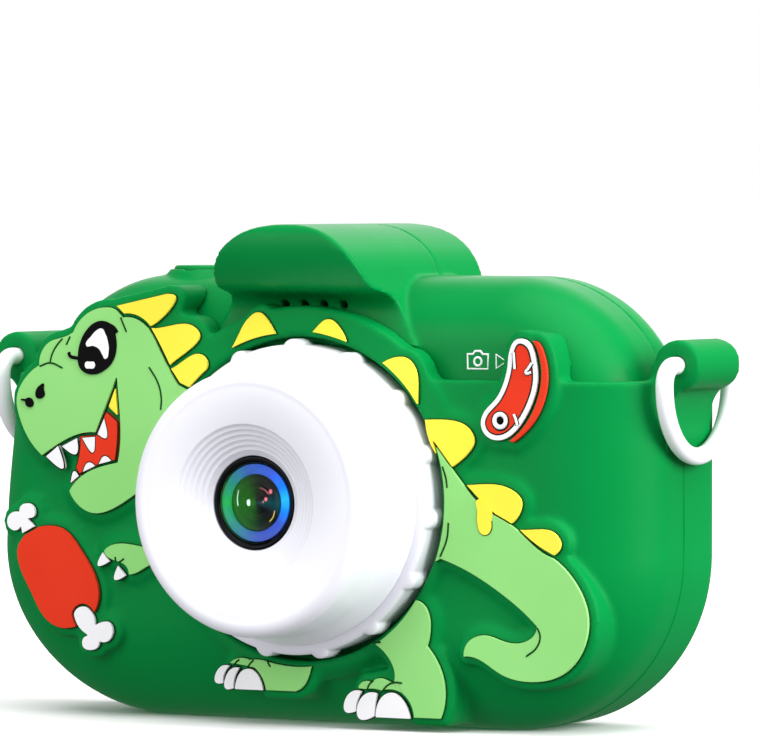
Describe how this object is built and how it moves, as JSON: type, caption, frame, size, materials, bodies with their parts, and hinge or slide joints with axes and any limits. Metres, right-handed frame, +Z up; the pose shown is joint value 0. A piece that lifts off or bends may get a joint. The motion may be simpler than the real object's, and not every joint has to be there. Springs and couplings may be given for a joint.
{
  "type": "kids digital camera",
  "caption": "Child's pocket digital camera with rear screen and keypad, in a removable silicone sleeve with a raised cartoon dinosaur around the lens and strap rings at the sides.",
  "frame": {"origin": "middle of the flat underside of the silicone sleeve", "axes": "+Z up; the lens faces -Y; +X is right for someone facing the lens"},
  "size_m": [0.107, 0.043, 0.0655],
  "materials": {
    "silicone_green": "satin",
    "body_green": "glossy",
    "skin_green": "satin",
    "spike_yellow": "satin",
    "meat_red": "satin",
    "picture_white": "satin",
    "picture_black": "satin",
    "lens_white": "satin",
    "key_white": "satin",
    "ring_white": "glossy",
    "black_gloss": "glossy",
    "lens_glass": "polished",
    "screen_clear": "glossy",
    "circuit_board": "satin",
    "module_grey": "satin",
    "battery_foil": "satin",
    "connector_steel": "brushed",
    "screw_steel": "plated"
  },
  "bodies": {
    "camera": {"silicone_sleeve": "silicone_green", "front_shell": "body_green", "rear_shell": "body_green", "dino_head": "skin_green", "dino_body_tail": "skin_green", "dino_limbs": "skin_green", "dino_mouth": "meat_red", "dino_mouth_corner": "spike_yellow", "dino_teeth": "picture_white", "dino_claws": "picture_white", "dino_eye": "picture_black", "dino_eye_white": "picture_white", "dino_nostrils": "picture_black", "head_spikes": "spike_yellow", "lens_spikes": "spike_yellow", "back_spikes": "spike_yellow", "drumstick_meat": "meat_red", "drumstick_bones": "picture_white", "steak_rim": "picture_white", "steak_meat": "meat_red", "steak_side": "meat_red", "steak_bone": "picture_white", "lens_ring": "lens_white", "lens_cap": "lens_white", "lens_bezel": "black_gloss", "lens_glass": "lens_glass", "front_camera_module": "module_grey", "main_board": "circuit_board", "lcd_module": "module_grey", "screen_window": "screen_clear", "battery": "battery_foil", "key_switches": "connector_steel", "shutter_switch": "connector_steel", "usb_port": "connector_steel", "card_slot": "connector_steel", "speaker": "module_grey", "microphone": "connector_steel", "selfie_bezel": "black_gloss", "selfie_lens": "lens_glass", "selfie_camera_module": "module_grey", "case_screws": "screw_steel"},
    "shutter_button": {"shutter_button": "body_green"},
    "power_button": {"power_button": "key_white"},
    "mode_button": {"mode_button": "key_white"},
    "ok_button": {"ok_button": "body_green"},
    "dpad_right": {"dpad_right": "key_white"},
    "dpad_up": {"dpad_up": "key_white"},
    "dpad_left": {"dpad_left": "key_white"},
    "dpad_down": {"dpad_down": "key_white"},
    "d_ring_left": {"d_ring_left": "ring_white"},
    "d_ring_right": {"d_ring_right": "ring_white"},
    "memory_card": {"memory_card": "black_gloss"}
  },
  "joints": [
    {"name": "shutter_button_press", "type": "slide", "parent": "camera", "child": "shutter_button", "axis": [0, 0, -1], "range_m": [0, 0.0008], "stiffness_N_per_m": 400},
    {"name": "power_button_press", "type": "slide", "parent": "camera", "child": "power_button", "axis": [0, -1, 0], "range_m": [0, 0.0005], "stiffness_N_per_m": 300},
    {"name": "mode_button_press", "type": "slide", "parent": "camera", "child": "mode_button", "axis": [0, -1, 0], "range_m": [0, 0.0005], "stiffness_N_per_m": 300},
    {"name": "ok_button_press", "type": "slide", "parent": "camera", "child": "ok_button", "axis": [0, -1, 0], "range_m": [0, 0.0005], "stiffness_N_per_m": 300},
    {"name": "dpad_right_press", "type": "slide", "parent": "camera", "child": "dpad_right", "axis": [0, -1, 0], "range_m": [0, 0.0005], "stiffness_N_per_m": 300},
    {"name": "dpad_up_press", "type": "slide", "parent": "camera", "child": "dpad_up", "axis": [0, -1, 0], "range_m": [0, 0.0005], "stiffness_N_per_m": 300},
    {"name": "dpad_left_press", "type": "slide", "parent": "camera", "child": "dpad_left", "axis": [0, -1, 0], "range_m": [0, 0.0005], "stiffness_N_per_m": 300},
    {"name": "dpad_down_press", "type": "slide", "parent": "camera", "child": "dpad_down", "axis": [0, -1, 0], "range_m": [0, 0.0005], "stiffness_N_per_m": 300},
    {"name": "ring_left_swing", "type": "hinge", "parent": "camera", "child": "d_ring_left", "pos_m": [-0.0502, -0.0005, 0.0475], "axis": [0, 1, 0], "range_deg": [0, 178]},
    {"name": "ring_right_swing", "type": "hinge", "parent": "camera", "child": "d_ring_right", "pos_m": [0.0502, -0.0005, 0.0475], "axis": [0, -1, 0], "range_deg": [0, 178]},
    {"name": "memory_card_slide", "type": "slide", "parent": "camera", "child": "memory_card", "axis": [0, 0, -1], "range_m": [0, 0.016]}
  ]
}
